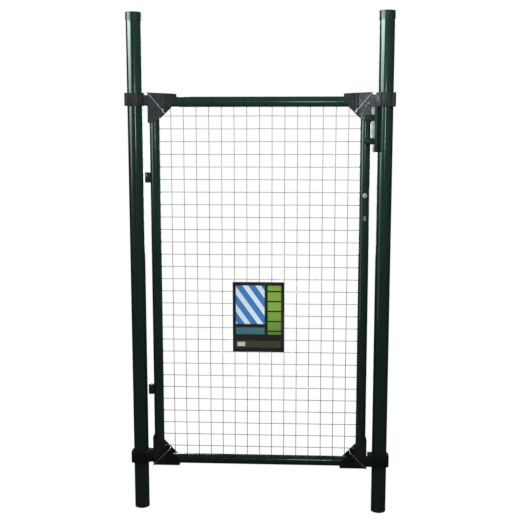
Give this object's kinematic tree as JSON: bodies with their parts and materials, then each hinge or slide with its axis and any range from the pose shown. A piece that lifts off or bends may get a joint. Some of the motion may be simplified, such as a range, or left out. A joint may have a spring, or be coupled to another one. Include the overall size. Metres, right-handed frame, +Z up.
{
  "type": "single leaf garden gate with wire mesh and two posts",
  "caption": "Single leaf garden gate: mitred round-tube frame with welded square wire mesh, corner covers and post clips, swinging between two round capped posts.",
  "frame": {"origin": "centre of the left post's foot", "axes": "+X from the left post to the right post, +Y away from the viewer to the side the leaf opens to, +Z up"},
  "size_m": [1.0596, 0.0764, 2.014],
  "materials": {
    "green_coating": "glossy dark green coating",
    "green_cap": "glossy dark green plastic",
    "green_wire": "green coated wire",
    "black_moulding": "satin charcoal plastic",
    "tie_strap": "pale translucent nylon",
    "zinc": "galvanised",
    "bright_metal": "bright plated",
    "card": "glossy printed card"
  },
  "bodies": {
    "posts": {"left_post": "green_coating", "right_post": "green_coating", "left_post_cap": "green_cap", "right_post_cap": "green_cap", "upper_right_clip": "black_moulding", "lower_right_clip": "black_moulding", "strike_flange": "green_coating", "strike_plate": "zinc", "upper_stop": "green_coating", "lower_stop": "green_coating"},
    "leaf": {"left_stile": "green_coating", "right_stile": "green_coating", "top_rail": "green_coating", "bottom_rail": "green_coating", "mesh_upper": "green_wire", "mesh_lower": "green_wire", "upper_hinge_lug": "green_coating", "lower_hinge_lug": "green_coating", "lock_case": "zinc", "spindle_hub": "bright_metal", "keyhole_bush": "zinc", "top_left_cover": "black_moulding", "top_right_cover": "black_moulding", "bottom_left_cover": "black_moulding", "bottom_right_cover": "black_moulding", "top_left_tie": "tie_strap", "top_right_tie": "tie_strap", "bottom_left_tie": "tie_strap", "bottom_right_tie": "tie_strap", "upper_left_clip": "black_moulding", "lower_left_clip": "black_moulding", "info_card": "card"}
  },
  "joints": [
    {"name": "leaf_swing", "type": "hinge", "parent": "posts", "child": "leaf", "pos_m": [0, 0, 0.94], "axis": [0, 0, 1], "range_deg": [0, 100]}
  ]
}
